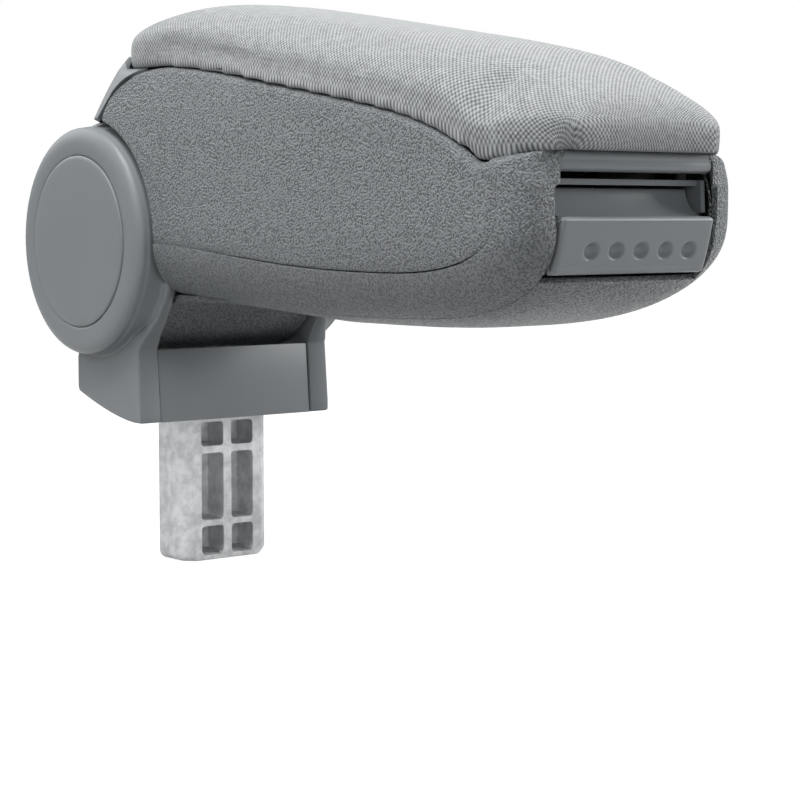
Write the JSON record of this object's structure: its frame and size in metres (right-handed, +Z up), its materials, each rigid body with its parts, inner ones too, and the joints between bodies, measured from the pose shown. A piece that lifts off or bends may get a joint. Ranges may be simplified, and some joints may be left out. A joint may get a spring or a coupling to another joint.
{
  "type": "car centre armrest",
  "caption": "Folding car centre armrest: a cast plug-in tongue and a drum-cheeked post carry a tilting arm with a storage tray, padded lid and finger latch.",
  "frame": {"origin": "on the seat plane of the tongue's shoulder, directly below the tilt axis", "axes": "+X to the armrest's right as seen from behind it, -Y towards the front of the car, +Z up; the tongue plugs in along -Z"},
  "size_m": [0.1192, 0.3356, 0.2377],
  "materials": {
    "cast_metal": "raw cast, milled faces",
    "steel": "zinc plated",
    "dark_steel": "black painted",
    "smooth_plastic": "satin grey",
    "grained_plastic": "pebble grained grey",
    "dark_plastic": "dark grey",
    "bearing_plastic": "natural",
    "stop_rubber": "soft",
    "cushion_fabric": "light grey woven"
  },
  "bodies": {
    "post": {"tongue": "cast_metal", "tongue_bolts": "dark_steel", "post_bracket": "steel", "post_cover": "smooth_plastic", "cheek_left": "smooth_plastic", "cheek_right": "smooth_plastic", "cap_left": "smooth_plastic", "cap_right": "smooth_plastic", "axle_bolt": "steel", "axle_nut": "steel", "thrust_washer_left": "bearing_plastic", "thrust_washer_right": "bearing_plastic", "friction_spring": "steel", "cheek_screws": "dark_steel"},
    "arm": {"belly_shell": "grained_plastic", "side_shell_left": "grained_plastic", "side_shell_right": "grained_plastic", "side_panel_left": "grained_plastic", "side_panel_right": "grained_plastic", "rear_cover": "smooth_plastic", "storage_tray": "dark_plastic", "arm_frame": "dark_steel", "bush_left": "bearing_plastic", "bush_right": "bearing_plastic", "belly_screws": "dark_steel", "lid_hinge_pin": "steel", "front_frame": "smooth_plastic", "latch_pin": "steel", "latch_spring": "steel", "lid_stops": "stop_rubber"},
    "lid": {"lid_base": "dark_plastic", "lid_striker": "steel", "lid_cushion": "cushion_fabric", "grip_strip": "smooth_plastic", "lid_screws": "dark_steel"},
    "latch": {"latch_handle": "smooth_plastic"}
  },
  "joints": [
    {"name": "arm_tilt", "type": "hinge", "parent": "post", "child": "arm", "pos_m": [0, 0, 0.0772], "axis": [-1, 0, 0], "range_deg": [0, 80]},
    {"name": "lid_hinge", "type": "hinge", "parent": "arm", "child": "lid", "pos_m": [0, -0.007, 0.146], "axis": [-1, 0, 0], "range_deg": [0, 85]},
    {"name": "latch_pivot", "type": "hinge", "parent": "arm", "child": "latch", "pos_m": [0, -0.2685, 0.072], "axis": [1, 0, 0], "range_deg": [0, 8], "stiffness_Nm_per_rad": 0.3, "springref_deg": -5.73}
  ]
}
